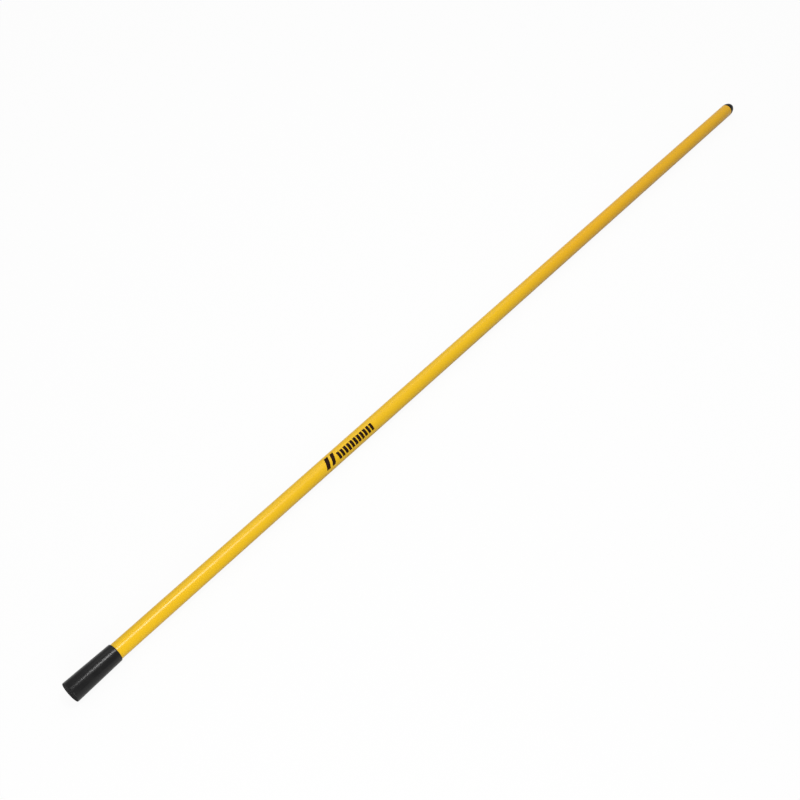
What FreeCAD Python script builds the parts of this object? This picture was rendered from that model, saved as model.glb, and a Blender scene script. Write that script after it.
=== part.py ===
import FreeCAD, Part
import os
import Sketcher

# A fixed-length roller extension pole. It lies along X with the sole of its boot at the -X end and
# the nose of its plug at the +X end. The tube's axis is as high as the widest part of the boot needs
# to rest on z = 0, and the origin is on that rest surface, halfway along the pole.
# Every sketch is drawn in its own body, x along the tube from the boot's sole, y out from the axis.

# Driving dimensions in millimetres.
SIZES = {
    "pole_length": 1800.0,
    "tube_diameter": 24.4,
    "tube_wall": 0.6,
    "skin_thickness": 0.5,
    "skin_edge_round": 0.4,
    "boot_length": 80.0,
    "boot_base_wall": 3.7,
    "boot_mouth_wall": 1.6,
    "boot_floor": 7.0,
    "boot_squeeze": 0.2,
    "boot_base_round": 0.8,
    "boot_mouth_round": 1.25,
    "washer_thickness": 1.5,
    "washer_clearance": 0.1,
    "washer_hole_diameter": 8.0,
    "head_inset": 0.3,
    "head_rim_length": 1.8,
    "nose_length": 20.5,
    "nose_tip_radius": 7.0,
    "nose_wall": 9.0,
    "core_wall": 2.8,
    "fin_height": 2.4,
    "fin_root_length": 2.0,
    "fin_land_length": 0.4,
    "fin_pitch": 5.0,
    "fin_count": 4,
    "fin_lead": 3.0,
}

# Radii, out from the tube's axis.
TUBE_RADIUS = "sizes.tube_diameter / 2"
TUBE_BORE_RADIUS = f"({TUBE_RADIUS} - sizes.tube_wall)"
SKIN_RADIUS = f"({TUBE_RADIUS} + sizes.skin_thickness)"
SQUEEZED_RADIUS = f"({SKIN_RADIUS} - sizes.boot_squeeze)"
BOOT_BASE_RADIUS = f"({SQUEEZED_RADIUS} + sizes.boot_base_wall)"
BOOT_MOUTH_RADIUS = f"({SQUEEZED_RADIUS} + sizes.boot_mouth_wall)"
WASHER_RADIUS = f"({SQUEEZED_RADIUS} - sizes.washer_clearance)"
HEAD_RADIUS = f"({SKIN_RADIUS} - sizes.head_inset)"
CORE_RADIUS = f"({TUBE_BORE_RADIUS} - sizes.fin_height)"
CORE_BORE_RADIUS = f"({CORE_RADIUS} - sizes.core_wall)"
FIN_ROOT_RADIUS = f"({CORE_RADIUS} - sizes.core_wall / 2)"

# Stations, along the tube from the boot's sole.
TUBE_FOOT = "(sizes.boot_floor + sizes.washer_thickness)"
RIM_END = "(sizes.pole_length - sizes.nose_length)"
TUBE_TOP = f"({RIM_END} - sizes.head_rim_length)"
CORE_FOOT = f"({TUBE_TOP} - sizes.fin_lead - sizes.fin_count * sizes.fin_pitch)"
CORE_BORE_TOP = "(sizes.pole_length - sizes.nose_wall)"

# The nose is a ball at the tip and an arc that runs from the ball down to the rim, parallel to the
# axis there. They meet, without a corner, on the line through their centres.
BALL_CENTRE = "(sizes.pole_length - sizes.nose_tip_radius)"
BALL_RISE = "(sizes.nose_length - sizes.nose_tip_radius)"
FLANK_RADIUS = (f"(({BALL_RISE} * {BALL_RISE} + {HEAD_RADIUS} * {HEAD_RADIUS}"
                " - sizes.nose_tip_radius * sizes.nose_tip_radius)"
                f" / (2 * ({HEAD_RADIUS} - sizes.nose_tip_radius)))")
FLANK_SHARE = f"({FLANK_RADIUS} / ({FLANK_RADIUS} - sizes.nose_tip_radius))"
BLEND_STATION = f"({RIM_END} + {BALL_RISE} * {FLANK_SHARE})"
BLEND_RADIUS = f"(({FLANK_RADIUS} - {HEAD_RADIUS}) * ({FLANK_SHARE} - 1))"

# A round stays inside the wall that it is cut from.
ROUND_SHARE_OF_WALL = 0.8
EDGE_TOLERANCE = 0.001


def make_sheet(doc):
    """Put every driving dimension in the spreadsheet, each in a cell with an alias."""
    sheet = doc.addObject("Spreadsheet::Sheet", "sizes")
    for row, (name, size) in enumerate(SIZES.items(), start=1):
        sheet.set(f"A{row}", name)
        sheet.set(f"B{row}", str(size))
        sheet.setAlias(f"B{row}", name)
    doc.recompute()
    return sheet


def make_body(doc, label):
    """Add an empty body, placed so that the pole is centred on X and rests on z = 0."""
    body = doc.addObject("PartDesign::Body", label)
    body.Label = label
    body.setExpression("Placement.Base.x", "-sizes.pole_length / 2")
    body.setExpression("Placement.Base.z", BOOT_BASE_RADIUS)
    return body


def new_sketch(body, name, plane_role):
    """Add a sketch on one of the body's own origin planes."""
    sketch = body.newObject("Sketcher::SketchObject", name)
    plane = next(item for item in body.Origin.OriginFeatures if item.Role == plane_role)
    sketch.AttachmentSupport = (plane, [""])
    sketch.MapMode = "FlatFace"
    return sketch


def pin_point(sketch, edge, end, along, out):
    """Hold one end of an edge at its station along the axis and its distance out from it."""
    axis_point = (-1, 1)
    for kind, expression, straight in (("DistanceX", along, -2), ("DistanceY", out, -1)):
        if expression is None:
            sketch.addConstraint(Sketcher.Constraint("PointOnObject", edge, end, straight))
            continue
        size = sketch.evalExpression(expression)
        index = sketch.addConstraint(Sketcher.Constraint(kind, *axis_point, edge, end, size))
        sketch.setExpression(f"Constraints[{index}]", expression)


def draw_outline(body, name, corners, arc_centres=()):
    """Draw a closed outline, anticlockwise, from corners given as expressions.

    A corner is (station along the axis, distance out), and None stands for zero. The
    first edges are arcs about centres at the stations in arc_centres.
    """
    sketch = new_sketch(body, name, "XY_Plane")
    places = []
    for along, out in corners:
        x = sketch.evalExpression(along) if along else 0.0
        y = sketch.evalExpression(out) if out else 0.0
        places.append(FreeCAD.Vector(x, y, 0))
    count = len(places)
    for edge in range(count):
        start, end = places[edge], places[(edge + 1) % count]
        if edge < len(arc_centres):
            sketch.addGeometry(arc_between(start, end, sketch.evalExpression(arc_centres[edge])))
        else:
            sketch.addGeometry(Part.LineSegment(start, end))
    for edge in range(count):
        sketch.addConstraint(Sketcher.Constraint("Coincident", edge, 2, (edge + 1) % count, 1))
    for edge, (along, out) in enumerate(corners):
        pin_point(sketch, edge, 1, along, out)
    for edge, station in enumerate(arc_centres):
        size = sketch.evalExpression(station)
        index = sketch.addConstraint(Sketcher.Constraint("DistanceX", -1, 1, edge, 3, size))
        sketch.setExpression(f"Constraints[{index}]", station)
    return sketch


def arc_between(start, end, centre_x):
    """Return the arc from start to end, anticlockwise, whose centre is at the station centre_x."""
    first, last = start.x - centre_x, end.x - centre_x
    rise = first * first + start.y * start.y - last * last - end.y * end.y
    centre = FreeCAD.Vector(centre_x, rise / (2 * (start.y - end.y)), 0)
    circle = Part.Circle(centre, FreeCAD.Vector(0, 0, 1), centre.distanceToPoint(start))
    return Part.ArcOfCircle(circle, circle.parameter(start), circle.parameter(end))


def turn(body, name, sketch):
    """Turn an outline all the way round the tube's axis."""
    feature = body.newObject("PartDesign::Revolution", name)
    feature.Profile = sketch
    feature.ReferenceAxis = (sketch, ["H_Axis"])
    feature.Angle = 360.0
    return feature


def ring_pad(body, name, foot, length, outer, inner):
    """Extrude a ring of two circles along the axis, starting at the station foot."""
    sketch = new_sketch(body, f"{name}_section", "YZ_Plane")
    sketch.setExpression("AttachmentOffset.Base.z", foot)
    for index, radius in enumerate((outer, inner)):
        size = sketch.evalExpression(radius)
        sketch.addGeometry(Part.Circle(FreeCAD.Vector(0, 0, 0), FreeCAD.Vector(0, 0, 1), size))
        sketch.addConstraint(Sketcher.Constraint("Coincident", index, 3, -1, 1))
        held = sketch.addConstraint(Sketcher.Constraint("Radius", index, size))
        sketch.setExpression(f"Constraints[{held}]", radius)
    pad = body.newObject("PartDesign::Pad", name)
    pad.Profile = sketch
    pad.setExpression("Length", length)
    return pad


def circle_edge(feature, along, out):
    """Find the round edge at a station along the axis and a distance out from it."""
    station = feature.evalExpression(along) if along else 0.0
    radius = feature.evalExpression(out)
    for number, edge in enumerate(feature.Shape.Edges, start=1):
        curve = edge.Curve
        if not isinstance(curve, Part.Circle):
            continue
        if abs(curve.Center.x - station) < EDGE_TOLERANCE and abs(curve.Radius - radius) < EDGE_TOLERANCE:
            return f"Edge{number}"
    raise RuntimeError(f"no round edge at {along}, {out} on {feature.Label}")


def round_edge(body, name, base, along, out, radius, wall):
    """Round one turned edge, by no more than its wall allows."""
    body.Document.recompute()
    fillet = body.newObject("PartDesign::Fillet", name)
    fillet.Base = (base, [circle_edge(base, along, out)])
    fillet.setExpression("Radius", f"min({radius}; {ROUND_SHARE_OF_WALL} * {wall})")
    return fillet


def make_steel_tube(doc):
    """The thin welded steel tube that carries the load, from the washer to the plug's head."""
    body = make_body(doc, "steel_tube")
    ring_pad(body, "tube", TUBE_FOOT, f"{TUBE_TOP} - {TUBE_FOOT}", TUBE_RADIUS, TUBE_BORE_RADIUS)
    return body


def make_plastic_skin(doc):
    """The plastic extruded on the tube, squeezed thinner where the boot grips it."""
    body = make_body(doc, "plastic_skin")
    outline = draw_outline(body, "skin_outline", [
        (TUBE_FOOT, TUBE_RADIUS),
        (TUBE_TOP, TUBE_RADIUS),
        (TUBE_TOP, SKIN_RADIUS),
        ("sizes.boot_length", SKIN_RADIUS),
        ("sizes.boot_length", SQUEEZED_RADIUS),
        (TUBE_FOOT, SQUEEZED_RADIUS),
    ])
    skin = turn(body, "skin", outline)
    round_edge(body, "skin_edge", skin, TUBE_TOP, SKIN_RADIUS, "sizes.skin_edge_round",
               "sizes.skin_thickness")
    return body


def make_end_boot(doc):
    """The moulded boot: a closed cup that flares from its mouth to its flat sole."""
    body = make_body(doc, "end_boot")
    outline = draw_outline(body, "boot_outline", [
        (None, None),
        ("sizes.boot_floor", None),
        ("sizes.boot_floor", SQUEEZED_RADIUS),
        ("sizes.boot_length", SQUEEZED_RADIUS),
        ("sizes.boot_length", BOOT_MOUTH_RADIUS),
        (None, BOOT_BASE_RADIUS),
    ])
    boot = turn(body, "boot", outline)
    sole = round_edge(body, "sole_edge", boot, None, BOOT_BASE_RADIUS, "sizes.boot_base_round",
                      "sizes.boot_base_wall")
    round_edge(body, "mouth_edge", sole, "sizes.boot_length", BOOT_MOUTH_RADIUS,
               "sizes.boot_mouth_round", "sizes.boot_mouth_wall")
    return body


def make_boot_washer(doc):
    """The steel washer on the boot's floor, which the tube's thin edge bears on."""
    body = make_body(doc, "boot_washer")
    ring_pad(body, "washer", "sizes.boot_floor", "sizes.washer_thickness", WASHER_RADIUS,
             "sizes.washer_hole_diameter / 2")
    return body


def make_tip_plug(doc):
    """The plug: a rounded nose on the tube's end and a hollow core with ring fins in its bore."""
    body = make_body(doc, "tip_plug")
    outline = draw_outline(body, "plug_outline", [
        ("sizes.pole_length", None),
        (BLEND_STATION, BLEND_RADIUS),
        (RIM_END, HEAD_RADIUS),
        (TUBE_TOP, HEAD_RADIUS),
        (TUBE_TOP, CORE_RADIUS),
        (CORE_FOOT, CORE_RADIUS),
        (CORE_FOOT, CORE_BORE_RADIUS),
        (CORE_BORE_TOP, CORE_BORE_RADIUS),
        (CORE_BORE_TOP, None),
    ], arc_centres=(BALL_CENTRE, RIM_END))
    turn(body, "nose_and_core", outline)
    fin_end = f"({CORE_FOOT} + sizes.fin_root_length)"
    fin_outline = draw_outline(body, "fin_outline", [
        (CORE_FOOT, FIN_ROOT_RADIUS),
        (fin_end, FIN_ROOT_RADIUS),
        (fin_end, TUBE_BORE_RADIUS),
        (f"({fin_end} - sizes.fin_land_length)", TUBE_BORE_RADIUS),
    ])
    fin = turn(body, "fin", fin_outline)
    doc.recompute()
    fins = body.newObject("PartDesign::LinearPattern", "fins")
    fins.Originals = [fin]
    fins.Direction = (fin_outline, ["H_Axis"])
    fins.setExpression("Length", "sizes.fin_pitch * (sizes.fin_count - 1)")
    fins.setExpression("Occurrences", "sizes.fin_count")
    body.Tip = fins
    return body


def check_document(doc, bodies):
    """Stop if any object failed, or if a body isn't one valid solid."""
    for item in doc.Objects:
        if "Invalid" in item.State or "Error" in item.State:
            raise RuntimeError(f"{item.Label} failed: {item.State}")
    for body in bodies:
        shape = body.Shape
        if shape.isNull() or not shape.isValid() or len(shape.Solids) != 1:
            raise RuntimeError(f"{body.Label} isn't one valid solid")


def main():
    """Build the document, check it and write one STEP file for each body."""
    doc = FreeCAD.newDocument("roller_pole")
    make_sheet(doc)
    makers = (make_steel_tube, make_plastic_skin, make_end_boot, make_boot_washer, make_tip_plug)
    bodies = [make(doc) for make in makers]
    doc.recompute()
    check_document(doc, bodies)
    os.makedirs("parts", exist_ok=True)
    for body in bodies:
        box = body.Shape.BoundBox
        body.Shape.exportStep(f"parts/{body.Label}.step")
        print(f"{body.Label}: x {box.XMin:.2f} to {box.XMax:.2f}, z {box.ZMin:.2f} to {box.ZMax:.2f}, "
              f"volume {body.Shape.Volume:.1f}")


main()
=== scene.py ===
"""The looks of a roller extension pole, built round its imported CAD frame.

The pole lies along X on a pale floor: a black boot at the low end of X, a yellow plastic-coated tube
with a row of printed bars on it, and a black rounded plug at the high end. Sizes are in metres, but
for those whose names end in mm.
"""

import logging
import math
from dataclasses import dataclass, replace
from enum import Enum
from typing import Callable, Sequence

import bmesh
import bpy
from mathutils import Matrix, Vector

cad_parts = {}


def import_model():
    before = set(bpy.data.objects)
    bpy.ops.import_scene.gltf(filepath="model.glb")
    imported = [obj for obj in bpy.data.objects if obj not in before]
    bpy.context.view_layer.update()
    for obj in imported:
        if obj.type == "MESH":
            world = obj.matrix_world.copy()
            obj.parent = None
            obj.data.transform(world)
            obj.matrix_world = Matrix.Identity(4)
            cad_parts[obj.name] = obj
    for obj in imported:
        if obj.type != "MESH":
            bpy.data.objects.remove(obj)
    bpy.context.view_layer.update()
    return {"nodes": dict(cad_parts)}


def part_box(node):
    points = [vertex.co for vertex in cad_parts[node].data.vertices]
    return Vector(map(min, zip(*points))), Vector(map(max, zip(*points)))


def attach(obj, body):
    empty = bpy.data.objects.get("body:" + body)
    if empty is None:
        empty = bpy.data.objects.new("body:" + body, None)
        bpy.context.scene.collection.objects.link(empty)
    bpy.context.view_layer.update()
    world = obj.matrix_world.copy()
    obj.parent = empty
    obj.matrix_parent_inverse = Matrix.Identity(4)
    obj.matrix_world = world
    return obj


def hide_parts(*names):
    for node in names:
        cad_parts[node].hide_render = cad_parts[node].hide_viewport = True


LOG = logging.getLogger("roller_pole")
MM = 0.001
ROOT_BODY = "root"

# Corners of the small triangle that is merged into the point where an outline starts.
SEED_CORNERS = 3

# A point of a turned outline: its station along X and its distance out from the tube's axis.
Station = tuple[float, float]
# A place in the studio, as X, Y and Z.
Place = tuple[float, float, float]
Socket = bpy.types.NodeSocket


class Slot(Enum):
    """Four material slot names: yellow plastic, boot plastic, plug plastic and print ink."""

    YELLOW_PLASTIC = "yellow_plastic"
    BOOT_PLASTIC = "boot_plastic"
    PLUG_PLASTIC = "plug_plastic"
    PRINT_INK = "print_ink"


# ---------------------------------------------------------------------------------------------------
# Materials
# ---------------------------------------------------------------------------------------------------

# The sRGB curve has a straight foot and a power above it.
SRGB_FOOT_END = 0.04045
SRGB_FOOT_SLOPE = 12.92
SRGB_OFFSET = 0.055
SRGB_POWER = 2.4
CHANNEL_STARTS = (0, 2, 4)
CHANNEL_FULL = 0xFF

# Sockets that share a name with another one are picked by number.
FIRST_VALUE = 0
SECOND_VALUE = 1
FIRST_SHADER = 1
SECOND_SHADER = 2
FIRST_FLOAT = 2
SECOND_FLOAT = 3
FIRST_COLOUR = 6
SECOND_COLOUR = 7
MIXED_FLOAT = 0
MIXED_COLOUR = 2


def hex_to_linear(code: str) -> tuple[float, float, float, float]:
    """Turn an sRGB hex colour into linear red, green, blue and alpha.

    Args:
        code: Six hex digits, such as "F0B41E".

    Returns:
        The linear colour, with an alpha of 1.
    """
    linear = []
    for start in CHANNEL_STARTS:
        channel = int(code[start:start + 2], 16) / CHANNEL_FULL
        if channel <= SRGB_FOOT_END:
            linear.append(channel / SRGB_FOOT_SLOPE)
        else:
            linear.append(((channel + SRGB_OFFSET) / (1.0 + SRGB_OFFSET)) ** SRGB_POWER)
    return (linear[0], linear[1], linear[2], 1.0)


def add_node(
    tree: bpy.types.NodeTree,
    kind: str,
    settings: dict[str, object] | None = None,
    inputs: dict[str | int, object] | None = None,
) -> bpy.types.Node:
    """Add a shader node, set it up and link its inputs.

    Args:
        tree: The node tree to add to.
        kind: The node's type, such as "ShaderNodeMath".
        settings: Properties of the node itself.
        inputs: A value or an output socket for each named or numbered input.

    Returns:
        The new node.
    """
    node = tree.nodes.new(kind)
    for name, value in (settings or {}).items():
        setattr(node, name, value)
    for name, value in (inputs or {}).items():
        if isinstance(value, Socket):
            tree.links.new(value, node.inputs[name])
        else:
            node.inputs[name].default_value = value
    return node


def new_material(name: str) -> tuple[bpy.types.Material, bpy.types.NodeTree]:
    """Make a material with an empty node tree.

    Args:
        name: The material's name.

    Returns:
        The material and its tree.
    """
    material = bpy.data.materials.new(name)
    material.use_nodes = True
    material.node_tree.nodes.clear()
    return material, material.node_tree


@dataclass(frozen=True)
class Pattern:
    """A cloudy pattern: the width of its cells, its detail, and how it is drawn out along the pole."""

    cell_mm: float
    detail: float
    roughness: float = 0.5
    along: float = 1.0

    def inputs(self) -> dict[str, float]:
        """Return the pattern as the inputs of a noise texture."""
        return {"Scale": 1.0 / (self.cell_mm * MM), "Detail": self.detail, "Roughness": self.roughness}

    def stretch(self) -> tuple[float, float, float]:
        """Return the scale that draws the pattern out along X where along is below 1."""
        return (self.along, 1.0, 1.0)


@dataclass(frozen=True)
class Range:
    """Where in a pattern an effect starts and is full, and what it is worth at those two places."""

    start: float
    full: float
    low: float
    high: float

    def inputs(self) -> dict[str, float]:
        """Return the range as the inputs of a range map."""
        return {"From Min": self.start, "From Max": self.full, "To Min": self.low, "To Max": self.high}


@dataclass(frozen=True)
class Relief:
    """A fine relief's strength and height."""

    strength: float
    height_mm: float

    def inputs(self) -> dict[str, float]:
        """Return the relief as the inputs of a bump."""
        return {"Strength": self.strength, "Distance": self.height_mm * MM}


@dataclass(frozen=True)
class ExtrudedYellowSkin:
    """PVC skin extruded on a steel tube: smooth and semi-gloss, with faint lines along its length.

    To the eye it is a clean saturated yellow with a soft bright streak under a lamp. The colour
    drifts a little along the tube at random, and handling leaves it slightly duller in patches. Its
    upper half is painted a shade warmer towards the plug: painted warm light.
    """

    colour: str = "F2BF04"
    pale_colour: str = "F7C607"
    # The next colour is painted warm light for the upper half of the tube.
    painted_warm_light_colour: str = "F2B504"
    scuff_colour: str = "E6BC3A"
    ior: float = 1.53
    specular: float = 0.4
    # The drift's clouds are four times as long as they are wide.
    drift: Pattern = Pattern(cell_mm=55.0, detail=3.0, along=0.25)
    # A station along X and a share: the upper half of the tube is painted a shade warmer, as painted
    # warm light.
    painted_warm_light_ramp: Range = Range(start=0.0, full=0.35, low=0.0, high=0.8)
    scuffs: Pattern = Pattern(cell_mm=14.0, detail=6.0, roughness=0.62, along=0.35)
    scuffing: Range = Range(start=0.62, full=0.74, low=0.0, high=0.35)
    roughness: Range = Range(start=0.35, full=0.75, low=0.27, high=0.36)
    # The die's lines run the whole way along the tube, so they hardly change with X.
    die_lines: Pattern = Pattern(cell_mm=1.1, detail=2.0, along=0.002)
    die_relief: Relief = Relief(strength=0.25, height_mm=0.02)
    peel: Pattern = Pattern(cell_mm=1.6, detail=1.0)
    peel_relief: Relief = Relief(strength=0.2, height_mm=0.02)

    def build(self) -> bpy.types.Material:
        """Build the skin's finish.

        Returns:
            The material.
        """
        material, tree = new_material("extruded_pvc_skin_yellow")
        place = add_node(tree, "ShaderNodeTexCoord").outputs["Object"]
        scuffed = add_node(tree, "ShaderNodeMapping", inputs={
            "Vector": place, "Scale": self.scuffs.stretch()}).outputs["Vector"]
        spots = add_node(tree, "ShaderNodeTexNoise", inputs={
            "Vector": scuffed, **self.scuffs.inputs()}).outputs["Fac"]
        roughness = add_node(tree, "ShaderNodeMapRange", inputs={
            "Value": spots, **self.roughness.inputs()}).outputs["Result"]
        shader = add_node(tree, "ShaderNodeBsdfPrincipled", inputs={
            "Base Color": self._tint(tree, place, spots), "Roughness": roughness, "IOR": self.ior,
            "Specular IOR Level": self.specular, "Normal": self._surface(tree, place),
        }).outputs["BSDF"]
        add_node(tree, "ShaderNodeOutputMaterial", inputs={"Surface": shader})
        return material

    def _tint(self, tree: bpy.types.NodeTree, place: Socket, spots: Socket) -> Socket:
        """Mix the skin's colour: drifting yellows, painted warm light up the tube, and a few rubbed
        spots.

        Args:
            tree: The material's tree.
            place: The place on the piece.
            spots: The pattern of the scuffs.

        Returns:
            The colour.
        """
        drawn_out = add_node(tree, "ShaderNodeMapping", inputs={
            "Vector": place, "Scale": self.drift.stretch()}).outputs["Vector"]
        drift = add_node(tree, "ShaderNodeTexNoise", inputs={
            "Vector": drawn_out, **self.drift.inputs()}).outputs["Fac"]
        yellow = add_node(tree, "ShaderNodeMix", {"data_type": "RGBA"}, {
            "Factor": drift, FIRST_COLOUR: hex_to_linear(self.colour),
            SECOND_COLOUR: hex_to_linear(self.pale_colour)}).outputs[MIXED_COLOUR]
        along = add_node(tree, "ShaderNodeSeparateXYZ", inputs={"Vector": place}).outputs["X"]
        # Painted warm light: the yellow turns a shade more orange from the middle towards the plug.
        painted_warm_light_share = add_node(tree, "ShaderNodeMapRange", {"interpolation_type": "SMOOTHSTEP"}, {
            "Value": along, **self.painted_warm_light_ramp.inputs()}).outputs["Result"]
        painted_warm_lit_yellow = add_node(tree, "ShaderNodeMix", {"data_type": "RGBA"}, {
            "Factor": painted_warm_light_share, FIRST_COLOUR: yellow,
            SECOND_COLOUR: hex_to_linear(self.painted_warm_light_colour)}).outputs[MIXED_COLOUR]
        scuff = add_node(tree, "ShaderNodeMapRange", inputs={
            "Value": spots, **self.scuffing.inputs()}).outputs["Result"]
        return add_node(tree, "ShaderNodeMix", {"data_type": "RGBA"}, {
            "Factor": scuff, FIRST_COLOUR: painted_warm_lit_yellow,
            SECOND_COLOUR: hex_to_linear(self.scuff_colour)}).outputs[MIXED_COLOUR]

    def _surface(self, tree: bpy.types.NodeTree, place: Socket) -> Socket:
        """Roughen the skin with the die's lines and a slight orange peel.

        Args:
            tree: The material's tree.
            place: The place on the piece.

        Returns:
            The surface's normal.
        """
        drawn_out = add_node(tree, "ShaderNodeMapping", inputs={
            "Vector": place, "Scale": self.die_lines.stretch()}).outputs["Vector"]
        die = add_node(tree, "ShaderNodeTexNoise", inputs={
            "Vector": drawn_out, **self.die_lines.inputs()}).outputs["Fac"]
        lined = add_node(tree, "ShaderNodeBump", inputs={
            "Height": die, **self.die_relief.inputs()}).outputs["Normal"]
        peel = add_node(tree, "ShaderNodeTexNoise", inputs={
            "Vector": place, **self.peel.inputs()}).outputs["Fac"]
        return add_node(tree, "ShaderNodeBump", inputs={
            "Height": peel, "Normal": lined, **self.peel_relief.inputs()}).outputs["Normal"]


@dataclass(frozen=True)
class MouldedBlackPlastic:
    """Injection-moulded black plastic with a fine spark-eroded grain.

    To the eye it is a deep neutral black with a narrow grey streak under a lamp, and a little
    pale dust that sits in the grain.
    """

    name: str
    colour: str = "080809"
    dust_colour: str = "242321"
    ior: float = 1.5
    specular: float = 0.34
    clouds: Pattern = Pattern(cell_mm=12.0, detail=5.0, roughness=0.6)
    roughness: Range = Range(start=0.3, full=0.7, low=0.26, high=0.33)
    # The real grain is finer. This one is as coarse as it needs to be to show.
    grain: Pattern = Pattern(cell_mm=0.6, detail=2.0)
    grain_relief: Relief = Relief(strength=0.015, height_mm=0.03)
    dusting: Range = Range(start=0.24, full=0.42, low=0.0, high=0.3)

    def build(self) -> bpy.types.Material:
        """Build the plastic's finish.

        Returns:
            The material.
        """
        material, tree = new_material(self.name)
        place = add_node(tree, "ShaderNodeTexCoord").outputs["Object"]
        clouds = add_node(tree, "ShaderNodeTexNoise", inputs={
            "Vector": place, **self.clouds.inputs()}).outputs["Fac"]
        grain = add_node(tree, "ShaderNodeTexNoise", inputs={
            "Vector": place, **self.grain.inputs()}).outputs["Fac"]
        pooled = add_node(tree, "ShaderNodeMath", {"operation": "MULTIPLY"}, {
            FIRST_VALUE: clouds, SECOND_VALUE: grain}).outputs["Value"]
        dust = add_node(tree, "ShaderNodeMapRange", inputs={
            "Value": pooled, **self.dusting.inputs()}).outputs["Result"]
        colour = add_node(tree, "ShaderNodeMix", {"data_type": "RGBA"}, {
            "Factor": dust, FIRST_COLOUR: hex_to_linear(self.colour),
            SECOND_COLOUR: hex_to_linear(self.dust_colour)}).outputs[MIXED_COLOUR]
        roughness = add_node(tree, "ShaderNodeMapRange", inputs={
            "Value": clouds, **self.roughness.inputs()}).outputs["Result"]
        normal = add_node(tree, "ShaderNodeBump", inputs={
            "Height": grain, **self.grain_relief.inputs()}).outputs["Normal"]
        shader = add_node(tree, "ShaderNodeBsdfPrincipled", inputs={
            "Base Color": colour, "Roughness": roughness, "IOR": self.ior,
            "Specular IOR Level": self.specular, "Normal": normal}).outputs["BSDF"]
        add_node(tree, "ShaderNodeOutputMaterial", inputs={"Surface": shader})
        return material


@dataclass(frozen=True)
class PrintedInk:
    """Brown-black screen-printing ink on plastic: an even matt film with pinholes and thin patches.

    To the eye it is dark and flat, with no streak under a lamp, and the yellow shows through it
    where it is thin.
    """

    colour: str = "260F02"
    worn_colour: str = "5E4210"
    ior: float = 1.5
    roughness: float = 0.6
    specular: float = 0.12
    pinholes: Pattern = Pattern(cell_mm=0.9, detail=2.0)
    wear: Pattern = Pattern(cell_mm=9.0, detail=4.0)
    thinning: Range = Range(start=0.36, full=0.46, low=0.0, high=0.8)
    relief: Relief = Relief(strength=0.2, height_mm=0.01)

    def build(self) -> bpy.types.Material:
        """Build the ink's finish.

        Returns:
            The material.
        """
        material, tree = new_material("screen_printed_ink_black")
        place = add_node(tree, "ShaderNodeTexCoord").outputs["Object"]
        holes = add_node(tree, "ShaderNodeTexNoise", inputs={
            "Vector": place, **self.pinholes.inputs()}).outputs["Fac"]
        wear = add_node(tree, "ShaderNodeTexNoise", inputs={
            "Vector": place, **self.wear.inputs()}).outputs["Fac"]
        both = add_node(tree, "ShaderNodeMath", {"operation": "MULTIPLY"}, {
            FIRST_VALUE: holes, SECOND_VALUE: wear}).outputs["Value"]
        thin = add_node(tree, "ShaderNodeMapRange", inputs={
            "Value": both, **self.thinning.inputs()}).outputs["Result"]
        colour = add_node(tree, "ShaderNodeMix", {"data_type": "RGBA"}, {
            "Factor": thin, FIRST_COLOUR: hex_to_linear(self.colour),
            SECOND_COLOUR: hex_to_linear(self.worn_colour)}).outputs[MIXED_COLOUR]
        normal = add_node(tree, "ShaderNodeBump", inputs={
            "Height": holes, **self.relief.inputs()}).outputs["Normal"]
        shader = add_node(tree, "ShaderNodeBsdfPrincipled", inputs={
            "Base Color": colour, "Roughness": self.roughness, "IOR": self.ior,
            "Specular IOR Level": self.specular, "Normal": normal}).outputs["BSDF"]
        add_node(tree, "ShaderNodeOutputMaterial", inputs={"Surface": shader})
        return material


@dataclass(frozen=True)
class Steel:
    """Mild steel with a thin surface finish: bare cold-rolled strip, or zinc plate.

    To the eye the bare tube is a dull blue-grey with rolling lines along it, and the plated
    washer is paler and cloudier.
    """

    name: str
    colour: str
    cloud_colour: str
    lines: Pattern
    roughness: Range
    clouds: Pattern = Pattern(cell_mm=6.0, detail=4.0)
    relief: Relief = Relief(strength=0.3, height_mm=0.01)

    def build(self) -> bpy.types.Material:
        """Build the steel's finish.

        Returns:
            The material.
        """
        material, tree = new_material(self.name)
        place = add_node(tree, "ShaderNodeTexCoord").outputs["Object"]
        clouds = add_node(tree, "ShaderNodeTexNoise", inputs={
            "Vector": place, **self.clouds.inputs()}).outputs["Fac"]
        drawn_out = add_node(tree, "ShaderNodeMapping", inputs={
            "Vector": place, "Scale": self.lines.stretch()}).outputs["Vector"]
        lines = add_node(tree, "ShaderNodeTexNoise", inputs={
            "Vector": drawn_out, **self.lines.inputs()}).outputs["Fac"]
        colour = add_node(tree, "ShaderNodeMix", {"data_type": "RGBA"}, {
            "Factor": clouds, FIRST_COLOUR: hex_to_linear(self.colour),
            SECOND_COLOUR: hex_to_linear(self.cloud_colour)}).outputs[MIXED_COLOUR]
        roughness = add_node(tree, "ShaderNodeMapRange", inputs={
            "Value": lines, **self.roughness.inputs()}).outputs["Result"]
        normal = add_node(tree, "ShaderNodeBump", inputs={
            "Height": lines, **self.relief.inputs()}).outputs["Normal"]
        shader = add_node(tree, "ShaderNodeBsdfPrincipled", inputs={
            "Base Color": colour, "Metallic": 1.0, "Roughness": roughness, "Normal": normal,
        }).outputs["BSDF"]
        add_node(tree, "ShaderNodeOutputMaterial", inputs={"Surface": shader})
        return material


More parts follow.
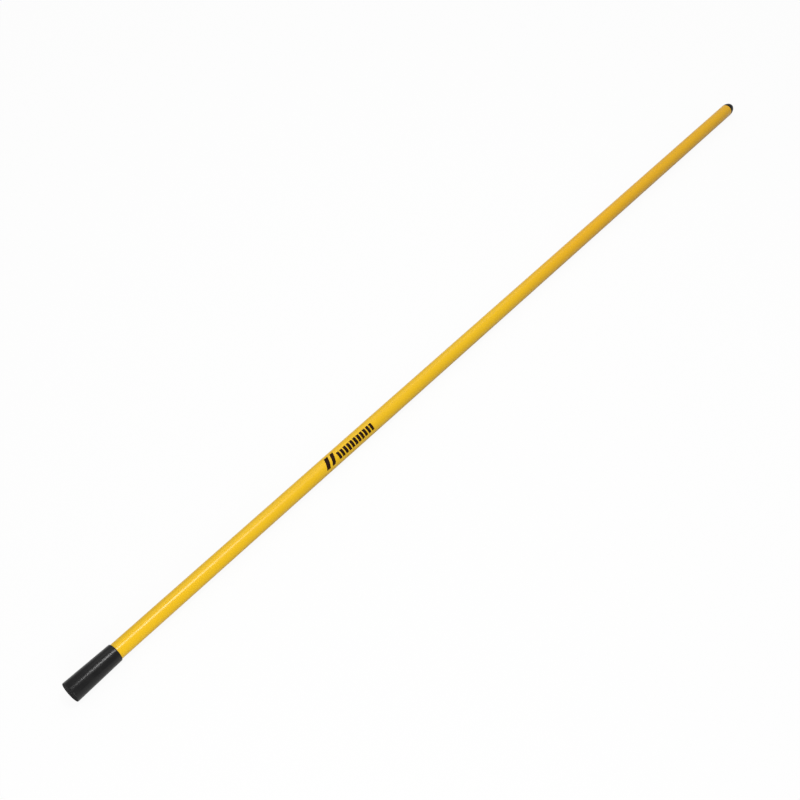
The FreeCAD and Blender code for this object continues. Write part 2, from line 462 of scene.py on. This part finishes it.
@dataclass(frozen=True)
class StudioFloor:
    """Matt studio paint. The camera sees it near white, with the object's shadow on it.

    The light that it throws back on the object is that of a pale grey floor. A reflection keeps
    more of the shadow beside the pole than the camera sees.
    """

    colour: str = "F4F4F3"
    bounce_colour: str = "4C4C4B"
    white: float = 1.0
    white_share: float = 0.93
    mirrored_share: float = 0.1

    def build(self) -> bpy.types.Material:
        """Build the floor's paint.

        Returns:
            The material.
        """
        material, tree = new_material("matt_studio_paint_white")
        rays = add_node(tree, "ShaderNodeLightPath").outputs
        mirrored = add_node(tree, "ShaderNodeMath", {"operation": "MAXIMUM"}, {
            FIRST_VALUE: rays["Is Glossy Ray"],
            SECOND_VALUE: rays["Is Transmission Ray"]}).outputs["Value"]
        seen = add_node(tree, "ShaderNodeMath", {"operation": "MAXIMUM"}, {
            FIRST_VALUE: rays["Is Camera Ray"], SECOND_VALUE: mirrored}).outputs["Value"]
        share = add_node(tree, "ShaderNodeMix", {"data_type": "FLOAT"}, {
            "Factor": mirrored, FIRST_FLOAT: self.white_share,
            SECOND_FLOAT: self.mirrored_share}).outputs[MIXED_FLOAT]
        paint = add_node(tree, "ShaderNodeBsdfDiffuse", inputs={
            "Color": hex_to_linear(self.colour)}).outputs["BSDF"]
        white = add_node(tree, "ShaderNodeEmission", inputs={
            "Strength": self.white}).outputs["Emission"]
        shown = add_node(tree, "ShaderNodeMixShader", inputs={
            "Fac": share, FIRST_SHADER: paint, SECOND_SHADER: white}).outputs["Shader"]
        bounce = add_node(tree, "ShaderNodeBsdfDiffuse", inputs={
            "Color": hex_to_linear(self.bounce_colour)}).outputs["BSDF"]
        mixed = add_node(tree, "ShaderNodeMixShader", inputs={
            "Fac": seen, FIRST_SHADER: bounce, SECOND_SHADER: shown}).outputs["Shader"]
        add_node(tree, "ShaderNodeOutputMaterial", inputs={"Surface": mixed})
        return material


# ---------------------------------------------------------------------------------------------------
# Modelling
# ---------------------------------------------------------------------------------------------------


def deselect_all() -> None:
    """Leave edit mode and select nothing, so that the next operator acts on its own piece."""
    if bpy.context.object is not None and bpy.context.object.mode != "OBJECT":
        bpy.ops.object.mode_set(mode="OBJECT")
    bpy.ops.object.select_all(action="DESELECT")


def make_active(piece: bpy.types.Object) -> None:
    """Select one piece alone and make it the active one.

    Args:
        piece: The piece that the next operator acts on.
    """
    deselect_all()
    piece.select_set(True)
    bpy.context.view_layer.objects.active = piece


def select_edges(piece: bpy.types.Object, wanted: Callable[[Vector, Vector], bool]) -> None:
    """Select, in edit mode, the edges whose two ends pass a test.

    Args:
        piece: The piece that is being edited.
        wanted: Takes an edge's two ends and says whether to select it.
    """
    bpy.ops.mesh.select_mode(type="EDGE")
    bpy.ops.mesh.select_all(action="DESELECT")
    mesh = bmesh.from_edit_mesh(piece.data)
    for edge in mesh.edges:
        if wanted(edge.verts[0].co, edge.verts[1].co):
            edge.select = True
    mesh.select_flush_mode()
    bmesh.update_edit_mesh(piece.data)


def start_point(name: str, place: Vector) -> bpy.types.Object:
    """Start a piece as one selected point in edit mode.

    Args:
        name: The piece's name.
        place: Where the point is.

    Returns:
        The piece, which is left in edit mode.
    """
    deselect_all()
    bpy.ops.mesh.primitive_circle_add(vertices=SEED_CORNERS, radius=MM, location=(0, 0, 0))
    piece = bpy.context.object
    piece.name = name
    bpy.ops.object.mode_set(mode="EDIT")
    bpy.ops.mesh.select_mode(type="VERT")
    bpy.ops.mesh.select_all(action="SELECT")
    bpy.ops.mesh.merge(type="CENTER")
    bpy.ops.transform.translate(value=place)
    return piece


@dataclass(frozen=True)
class Axis:
    """The tube's axis, which runs along X at one height."""

    height: float

    def point(self, station: Station, angle: float = 0.0) -> Vector:
        """Return the place of an outline's point, turned about the axis.

        Args:
            station: The station along X and the distance out.
            angle: The turn from +Y towards +Z, in radians.

        Returns:
            The place.
        """
        along, out = station
        return Vector((along, out * math.cos(angle), self.height + out * math.sin(angle)))

    def distance(self, place: Vector) -> float:
        """Return how far a place is from the axis."""
        return math.hypot(place.y, place.z - self.height)

    def angle(self, place: Vector) -> float:
        """Return a place's turn about the axis, from +Y towards +Z, in radians."""
        return math.atan2(place.z - self.height, place.y)


@dataclass(frozen=True)
class Lathe:
    """Turns an outline about the tube's axis into a closed piece."""

    axis: Axis
    steps: int = 128
    round_segments: int = 6
    weld: float = 0.002 * MM
    ring_slack: float = 0.02 * MM

    def turn(self, name: str, outline: Sequence[Station], closed: bool) -> bpy.types.Object:
        """Draw an outline by extruding a point along it, then spin it all the way round.

        Args:
            name: The new piece's name.
            outline: The outline's points in order.
            closed: Whether the last point joins the first. If not, both lie on the axis.

        Returns:
            The turned piece, with its normals outwards.
        """
        places = [self.axis.point(station) for station in outline]
        if closed:
            places.append(places[0])
        piece = start_point(name, places[0])
        for start, end in zip(places, places[1:]):
            bpy.ops.mesh.extrude_region_move(TRANSFORM_OT_translate={"value": end - start})
        bpy.ops.mesh.select_all(action="SELECT")
        bpy.ops.mesh.spin(steps=self.steps, angle=2 * math.pi,
                          center=(0, 0, self.axis.height), axis=(1, 0, 0))
        bpy.ops.mesh.select_all(action="SELECT")
        bpy.ops.mesh.remove_doubles(threshold=self.weld)
        bpy.ops.mesh.normals_make_consistent(inside=False)
        bpy.ops.object.mode_set(mode="OBJECT")
        return piece

    def round_ring(self, piece: bpy.types.Object, station: Station, width: float) -> None:
        """Round the turned edge that passes through an outline's point.

        Args:
            piece: The turned piece.
            station: The outline's point.
            width: The round's radius.
        """
        along, out = station

        def on_ring(start: Vector, end: Vector) -> bool:
            """Say whether an edge lies on the ring.

            Args:
                start: The edge's one end.
                end: Its other end.

            Returns:
                Whether both ends are on the ring.
            """
            return all(abs(place.x - along) < self.ring_slack
                       and abs(self.axis.distance(place) - out) < self.ring_slack
                       for place in (start, end))

        make_active(piece)
        bpy.ops.object.mode_set(mode="EDIT")
        select_edges(piece, on_ring)
        bpy.ops.mesh.bevel(offset=width, offset_type="OFFSET", segments=self.round_segments,
                           affect="EDGES")
        bpy.ops.object.mode_set(mode="OBJECT")


def finish_piece(piece: bpy.types.Object, material: bpy.types.Material,
                 smooth_angle: float = 35.0) -> None:
    """Shade a piece, give it its material and put it on the pole's one body.

    Args:
        piece: The finished mesh.
        material: Its material.
        smooth_angle: Edges sharper than this many degrees stay crisp.
    """
    make_active(piece)
    bpy.ops.object.transform_apply(location=True, rotation=True, scale=True)
    bpy.ops.object.shade_smooth_by_angle(angle=math.radians(smooth_angle))
    piece.data.materials.clear()
    piece.data.materials.append(material)
    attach(piece, ROOT_BODY)


def paint_zone(piece: bpy.types.Object, material: bpy.types.Material,
               wanted: Callable[[bpy.types.MeshPolygon], bool]) -> None:
    """Give the faces of a piece that pass a test a second finish.

    Args:
        piece: The finished piece.
        material: The second finish.
        wanted: Takes a face and says whether it belongs to the zone.
    """
    piece.data.materials.append(material)
    index = len(piece.data.materials) - 1
    for face in piece.data.polygons:
        if wanted(face):
            face.material_index = index


@dataclass(frozen=True)
class PoleSizes:
    """Sizes of the pole, read from the frame's nodes."""

    axis: Axis
    sole: float
    boot_mouth: float
    tube_foot: float
    tube_top: float
    nose: float
    skin_radius: float
    head_radius: float

    @classmethod
    def from_frame(cls) -> "PoleSizes":
        """Measure the boxes of the frame's nodes.

        Returns:
            The sizes.
        """
        skin_low, skin_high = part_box("plastic_skin")
        boot_low, boot_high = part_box("end_boot")
        plug_low, plug_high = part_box("tip_plug")
        return cls(
            axis=Axis((skin_low.z + skin_high.z) / 2),
            sole=boot_low.x,
            boot_mouth=boot_high.x,
            tube_foot=skin_low.x,
            tube_top=skin_high.x,
            nose=plug_high.x,
            skin_radius=(skin_high.y - skin_low.y) / 2,
            head_radius=(plug_high.y - plug_low.y) / 2,
        )


@dataclass(frozen=True)
class CoatedTube:
    """The yellow skin on the steel tube."""

    sizes: PoleSizes
    thickness: float = 0.5 * MM
    squeeze: float = 0.2 * MM
    cut_edge_round: float = 0.4 * MM
    ring_spacing: float = 60.0 * MM

    def build(self, skin: bpy.types.Material) -> bpy.types.Object:
        """Turn the skin, with rings along it so that its shading stays even.

        Args:
            skin: The skin's material.

        Returns:
            The skin.
        """
        size = self.sizes
        inner = size.skin_radius - self.thickness
        gripped = size.skin_radius - self.squeeze
        bare = size.tube_top - size.boot_mouth
        rings = math.ceil(bare / self.ring_spacing)
        outline = [(size.tube_foot, inner), (size.tube_foot, gripped), (size.boot_mouth, gripped)]
        outline += [(size.boot_mouth + bare * ring / rings, size.skin_radius)
                    for ring in range(rings + 1)]
        outline.append((size.tube_top, inner))
        lathe = Lathe(size.axis)
        piece = lathe.turn("coated_tube_skin", outline, closed=True)
        lathe.round_ring(piece, (size.tube_top, size.skin_radius), self.cut_edge_round)
        finish_piece(piece, skin)
        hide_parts("plastic_skin")
        return piece


@dataclass(frozen=True)
class EndBoot:
    """The black boot on the tube's lower end, with its parting lines and gate mark."""

    sizes: PoleSizes
    base_radius: float = 16.2 * MM
    mouth_wall: float = 1.6 * MM
    squeeze: float = 0.2 * MM
    floor: float = 7.0 * MM
    base_round: float = 0.8 * MM
    mouth_round: float = 1.25 * MM
    gate_radius: float = 3.0 * MM
    gate_depth: float = 0.4 * MM
    gate_stub_radius: float = 0.8 * MM
    gate_stub_height: float = 0.25 * MM
    # The sole is the part of the flat end that faces this much along -X.
    sole_facing: float = 0.9
    parting_angle: float = math.radians(33.75)
    parting_slack: float = math.radians(0.5)
    parting_margin: float = 0.2 * MM
    parting_width: float = 0.25 * MM
    parting_height: float = 0.1 * MM
    parting_segments: int = 2

    def build(self, plastic: bpy.types.Material, worn: bpy.types.Material) -> bpy.types.Object:
        """Turn the closed flared cup and round its edges.

        Args:
            plastic: The boot's material.
            worn: The finish of its flat sole.

        Returns:
            The boot.
        """
        size = self.sizes
        bore = size.skin_radius - self.squeeze
        mouth = bore + self.mouth_wall
        gate_floor = size.sole + self.gate_depth
        stub_top = gate_floor - self.gate_stub_height
        outline = [
            (stub_top, 0.0), (stub_top, self.gate_stub_radius), (gate_floor, self.gate_stub_radius),
            (gate_floor, self.gate_radius), (size.sole, self.gate_radius),
            (size.sole, self.base_radius), (size.boot_mouth, mouth), (size.boot_mouth, bore),
            (size.sole + self.floor, bore), (size.sole + self.floor, 0.0),
        ]
        lathe = Lathe(size.axis)
        piece = lathe.turn("end_boot_moulding", outline, closed=False)
        lathe.round_ring(piece, (size.sole, self.base_radius), self.base_round)
        lathe.round_ring(piece, (size.boot_mouth, mouth), self.mouth_round)
        self._raise_parting_lines(piece, mouth)
        finish_piece(piece, plastic)
        paint_zone(piece, worn, lambda face: (face.center.x < gate_floor
                                              and face.normal.x < -self.sole_facing))
        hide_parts("end_boot")
        return piece

    def _raise_parting_lines(self, piece: bpy.types.Object, mouth: float) -> None:
        """Raise the two fine ridges that the mould's halves leave along the boot.

        Args:
            piece: The turned boot.
            mouth: The boot's outer radius at its mouth.
        """
        axis = self.sizes.axis
        turns = (self.parting_angle, self.parting_angle - math.pi)

        def on_line(start: Vector, end: Vector) -> bool:
            """Say whether an edge is a long one of the outer wall, on a parting line.

            Args:
                start: The edge's one end.
                end: Its other end.

            Returns:
                Whether the edge belongs to a line.
            """
            long_edge = abs(start.x - end.x) > self.floor
            outside = min(axis.distance(start), axis.distance(end)) > mouth - self.parting_margin
            on_turn = any(abs(axis.angle(start) - turn) < self.parting_slack for turn in turns)
            return long_edge and outside and on_turn

        make_active(piece)
        bpy.ops.object.mode_set(mode="EDIT")
        select_edges(piece, on_line)
        bpy.ops.mesh.bevel(offset=self.parting_width, offset_type="OFFSET",
                           segments=self.parting_segments, affect="EDGES")
        select_edges(piece, on_line)
        bpy.ops.transform.shrink_fatten(value=self.parting_height)
        bpy.ops.object.mode_set(mode="OBJECT")


@dataclass(frozen=True)
class TipPlug:
    """The black plug: a rounded nose on the tube's end, and a finned hollow core inside it."""

    sizes: PoleSizes
    rim_length: float = 1.8 * MM
    tip_radius: float = 7.0 * MM
    core_radius: float = 9.2 * MM
    core_bore_radius: float = 6.4 * MM
    fin_radius: float = 11.6 * MM
    fin_land: float = 0.4 * MM
    fin_pitch: float = 5.0 * MM
    fin_count: int = 4
    fin_lead: float = 3.0 * MM
    # A fin's steep face, and the foot of its slope, from where its pitch starts.
    fin_root: float = 2.0 * MM
    fin_heel: float = 0.59 * MM
    nose_wall: float = 9.0 * MM
    ball_steps: int = 8
    flank_steps: int = 14
    gate_radius: float = 1.4 * MM
    gate_depth: float = 0.3 * MM

    def build(self, plastic: bpy.types.Material) -> bpy.types.Object:
        """Turn the plug.

        Args:
            plastic: The plug's material.

        Returns:
            The plug.
        """
        size = self.sizes
        outline = self._nose() + [(size.tube_top, size.head_radius),
                                  (size.tube_top, self.core_radius)]
        foot = size.tube_top - self.fin_lead - self.fin_count * self.fin_pitch
        for fin in reversed(range(self.fin_count)):
            start = foot + fin * self.fin_pitch
            outline += [(start + self.fin_root, self.core_radius),
                        (start + self.fin_root, self.fin_radius),
                        (start + self.fin_root - self.fin_land, self.fin_radius),
                        (start + self.fin_heel, self.core_radius)]
        bore_end = size.nose - self.nose_wall
        outline += [(foot, self.core_radius), (foot, self.core_bore_radius),
                    (bore_end, self.core_bore_radius), (bore_end, 0.0)]
        lathe = Lathe(size.axis)
        piece = lathe.turn("tip_plug_moulding", outline, closed=False)
        finish_piece(piece, plastic)
        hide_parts("tip_plug")
        return piece

    def _nose(self) -> list[Station]:
        """Work out the nose's outline: the gate's dimple, a ball at the tip and the flank's arc.

        Returns:
            The outline's points, from the axis out to the rim.
        """
        size = self.sizes
        rim = size.tube_top + self.rim_length
        ball = size.nose - self.tip_radius
        rise = ball - rim
        reach = size.head_radius
        # The flank's arc is parallel to the axis at the rim and runs smoothly into the ball.
        flank = (rise ** 2 + reach ** 2 - self.tip_radius ** 2) / (2 * (reach - self.tip_radius))
        drop = flank - reach
        gate_turn = math.asin(self.gate_radius / self.tip_radius)
        blend_turn = math.atan2(drop, rise)
        points: list[Station] = [(size.nose - self.gate_depth, 0.0),
                                 (size.nose - self.gate_depth, self.gate_radius)]
        for step in range(self.ball_steps):
            turn = gate_turn + (blend_turn - gate_turn) * step / self.ball_steps
            points.append((ball + self.tip_radius * math.cos(turn),
                           self.tip_radius * math.sin(turn)))
        for step in range(self.flank_steps + 1):
            turn = blend_turn + (math.pi / 2 - blend_turn) * step / self.flank_steps
            points.append((rim + flank * math.cos(turn), flank * math.sin(turn) - drop))
        return points


@dataclass(frozen=True)
class Bar:
    """One bar of the print: an arc of ink round the tube, which may lean along it.

    Its start is measured from the sole, and its top and foot are turns about the axis in degrees.
    """

    start_mm: float
    width_mm: float
    top: float
    foot: float = 156.0
    lean_mm: float = 0.0


def bar_row(first: Bar, pitch_mm: float, count: int) -> tuple[Bar, ...]:
    """Return a row of equal bars.

    Args:
        first: The bar nearest the boot.
        pitch_mm: The spacing of the bars.
        count: How many bars there are.

    Returns:
        The bars, from the boot's end on.
    """
    return tuple(replace(first, start_mm=first.start_mm + pitch_mm * number)
                 for number in range(count))


@dataclass(frozen=True)
class PrintedBars:
    """A plain printed mark on the tube: two bold slashes and a row of upright bars."""

    sizes: PoleSizes
    slashes: tuple[Bar, ...] = (
        Bar(start_mm=500.0, width_mm=8.0, top=73.0, foot=158.0, lean_mm=9.0),
        Bar(start_mm=513.0, width_mm=7.0, top=73.0, foot=158.0, lean_mm=9.0),
    )
    row: tuple[Bar, ...] = bar_row(Bar(start_mm=530.5, width_mm=5.5, top=99.0), pitch_mm=7.7, count=11)
    # The ink stands this far out of the skin, and reaches a little into it.
    film: float = 0.03 * MM
    buried: float = 0.006 * MM
    # Degrees of a bar's arc in one step.
    arc_step: float = 3.0

    def build(self, ink: bpy.types.Material) -> bpy.types.Object:
        """Draw every bar as an arc on the skin, give the ink its thickness and join the bars.

        Args:
            ink: The ink's material.

        Returns:
            The printed mark as one piece.
        """
        bars = [self._draw(bar) for bar in self.slashes + self.row]
        deselect_all()
        for bar in bars:
            bar.select_set(True)
        bpy.context.view_layer.objects.active = bars[0]
        bpy.ops.object.join()
        piece = bpy.context.object
        piece.name = "printed_bars"
        finish_piece(piece, ink)
        return piece

    def _draw(self, bar: Bar) -> bpy.types.Object:
        """Sweep a bar's edge round the tube in small steps, then thicken the sheet.

        Args:
            bar: The bar's place and size.

        Returns:
            The bar as a thin closed film.
        """
        axis = self.sizes.axis
        out = self.sizes.skin_radius + (self.film - self.buried) / 2
        start = axis.point((self.sizes.sole + bar.start_mm * MM, out), math.radians(bar.foot))
        piece = start_point("printed_bar", start)
        bpy.ops.mesh.extrude_region_move(
            TRANSFORM_OT_translate={"value": (bar.width_mm * MM, 0.0, 0.0)})
        bpy.ops.mesh.select_all(action="SELECT")
        steps = math.ceil((bar.foot - bar.top) / self.arc_step)
        turn = math.radians(bar.foot - bar.top) / steps
        for _ in range(steps):
            bpy.ops.mesh.spin(steps=1, angle=turn, center=(0, 0, axis.height), axis=(1, 0, 0))
            bpy.ops.transform.translate(value=(bar.lean_mm * MM / steps, 0.0, 0.0))
        bpy.ops.object.mode_set(mode="OBJECT")
        thicken = piece.modifiers.new("ink_film", "SOLIDIFY")
        thicken.thickness = self.film + self.buried
        thicken.offset = 0.0
        bpy.ops.object.modifier_apply(modifier=thicken.name)
        bpy.ops.object.mode_set(mode="EDIT")
        bpy.ops.mesh.select_all(action="SELECT")
        bpy.ops.mesh.normals_make_consistent(inside=False)
        bpy.ops.object.mode_set(mode="OBJECT")
        return piece


# ---------------------------------------------------------------------------------------------------
# Studio
# ---------------------------------------------------------------------------------------------------


def hang(name: str, data: bpy.types.ID, place: Place, aim: Place) -> bpy.types.Object:
    """Hang a lamp or a camera at one place, level with the horizon and pointed at another place.

    Args:
        name: The new object's name.
        data: The lamp or the camera.
        place: Where it hangs.
        aim: What it points at.

    Returns:
        The new object.
    """
    holder = bpy.data.objects.new(name, data)
    holder.location = place
    ray = Vector(aim) - Vector(place)
    holder.rotation_euler = ray.to_track_quat("-Z", "Y").to_euler()
    bpy.context.scene.collection.objects.link(holder)
    return holder


@dataclass(frozen=True)
class SoftBox:
    """A rectangular studio lamp that points straight at one place."""

    name: str
    place: Place
    aim: Place
    width: float
    depth: float
    power: float

    def build(self) -> None:
        """Add the lamp and point it."""
        lamp = bpy.data.lights.new(self.name, "AREA")
        lamp.shape = "RECTANGLE"
        lamp.size = self.width
        lamp.size_y = self.depth
        lamp.energy = self.power
        hang(self.name, lamp, self.place, self.aim)


@dataclass(frozen=True)
class Studio:
    """A pale floor, soft lamps, dim surroundings and the camera."""

    floor_size: float = 14.0
    room_colour: str = "FFFFFF"
    surroundings: float = 0.49
    camera_place: Place = (-1.1900, -0.8188, 1.4257)
    camera_aim: Place = (-0.1980, 0.0094, 0.0)
    lens_mm: float = 51.859
    sensor_mm: float = 36.0
    lamps: tuple[SoftBox, ...] = (
        # A box nearly overhead draws the streak along the boot and the lower tube.
        SoftBox("streak_lamp", place=(-0.15, -0.26, 2.0), aim=(-0.15, 0.0, 0.0),
                width=0.45, depth=0.30, power=14.0),
        # A small low box beside the boot fills the near side, and falls off towards the plug.
        SoftBox("fill_lamp", place=(-1.5, -1.0, 0.4), aim=(-0.8, 0.0, 0.0),
                width=0.6, depth=0.6, power=7.8),
        # A wide box behind the pole lights the far side, and is dim in the plastic.
        SoftBox("back_lamp", place=(0.75, 1.1, 1.7), aim=(0.1, 0.0, 0.0),
                width=2.2, depth=1.4, power=6.3),
    )

    def build(self) -> None:
        """Build the floor, the lamps, the surroundings and the camera."""
        self._add_floor()
        for lamp in self.lamps:
            lamp.build()
        self._set_surroundings()
        self._add_camera()
        bpy.context.scene.view_settings.view_transform = "Standard"

    def _add_floor(self) -> None:
        """Add the floor that the pole lies on."""
        deselect_all()
        bpy.ops.mesh.primitive_plane_add(size=self.floor_size, location=(0, 0, 0))
        floor = bpy.context.object
        floor.name = "studio_floor"
        floor.data.materials.append(StudioFloor().build())

    def _set_surroundings(self) -> None:
        """Light the room dimly and evenly from all round."""
        world = bpy.data.worlds.new("studio_room")
        world.use_nodes = True
        tree = world.node_tree
        tree.nodes.clear()
        light = add_node(tree, "ShaderNodeBackground", inputs={
            "Color": hex_to_linear(self.room_colour), "Strength": self.surroundings})
        add_node(tree, "ShaderNodeOutputWorld", inputs={"Surface": light.outputs["Background"]})
        bpy.context.scene.world = world

    def _add_camera(self) -> None:
        """Add the camera, above and behind the boot."""
        camera = bpy.data.cameras.new("camera")
        camera.lens = self.lens_mm
        camera.sensor_width = self.sensor_mm
        bpy.context.scene.camera = hang("camera", camera, self.camera_place, self.camera_aim)


@dataclass(frozen=True)
class HiddenSteel:
    """The steel pieces inside the pole, which stay as the CAD made them: the tube and the washer."""

    tube: Steel = Steel(
        name="cold_rolled_steel_strip", colour="8E9094", cloud_colour="7B7D80",
        lines=Pattern(cell_mm=0.8, detail=3.0, along=0.02),
        roughness=Range(start=0.3, full=0.7, low=0.38, high=0.55))
    washer: Steel = Steel(
        name="zinc_plated_steel", colour="B9BABC", cloud_colour="A3A6A2",
        lines=Pattern(cell_mm=0.8, detail=3.0),
        roughness=Range(start=0.3, full=0.7, low=0.30, high=0.46))

    def dress(self, nodes: dict[str, bpy.types.Object]) -> list[bpy.types.Object]:
        """Give the pieces their finishes.

        Args:
            nodes: The frame's nodes by name.

        Returns:
            The two pieces.
        """
        tube = nodes["steel_tube"]
        washer = nodes["boot_washer"]
        for node, finish in ((tube, self.tube), (washer, self.washer)):
            node.data.materials.clear()
            node.data.materials.append(finish.build())
        return [tube, washer]


def main() -> None:
    """Load the frame and build the pole's looks round it."""
    logging.basicConfig(level=logging.INFO, format="%(name)s: %(message)s")
    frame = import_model()
    sizes = PoleSizes.from_frame()
    soft_pvc = MouldedBlackPlastic("moulded_soft_pvc_black")
    worn_pvc = MouldedBlackPlastic(
        "scuffed_soft_pvc_black", specular=0.15,
        roughness=Range(start=0.3, full=0.7, low=0.75, high=0.9),
        grain_relief=Relief(strength=0.8, height_mm=0.03))
    polythene = MouldedBlackPlastic(
        "moulded_polythene_black", specular=0.2,
        roughness=Range(start=0.3, full=0.7, low=0.4, high=0.5))
    pieces = [
        CoatedTube(sizes).build(ExtrudedYellowSkin().build()),
        EndBoot(sizes).build(soft_pvc.build(), worn_pvc.build()),
        TipPlug(sizes).build(polythene.build()),
        PrintedBars(sizes).build(PrintedInk().build()),
        *HiddenSteel().dress(frame["nodes"]),
    ]
    for piece in pieces:
        LOG.info("%s: %d faces, %s", piece.name, len(piece.data.polygons),
                 piece.data.materials[0].name)
    Studio().build()


if __name__ == "__main__":
    main()
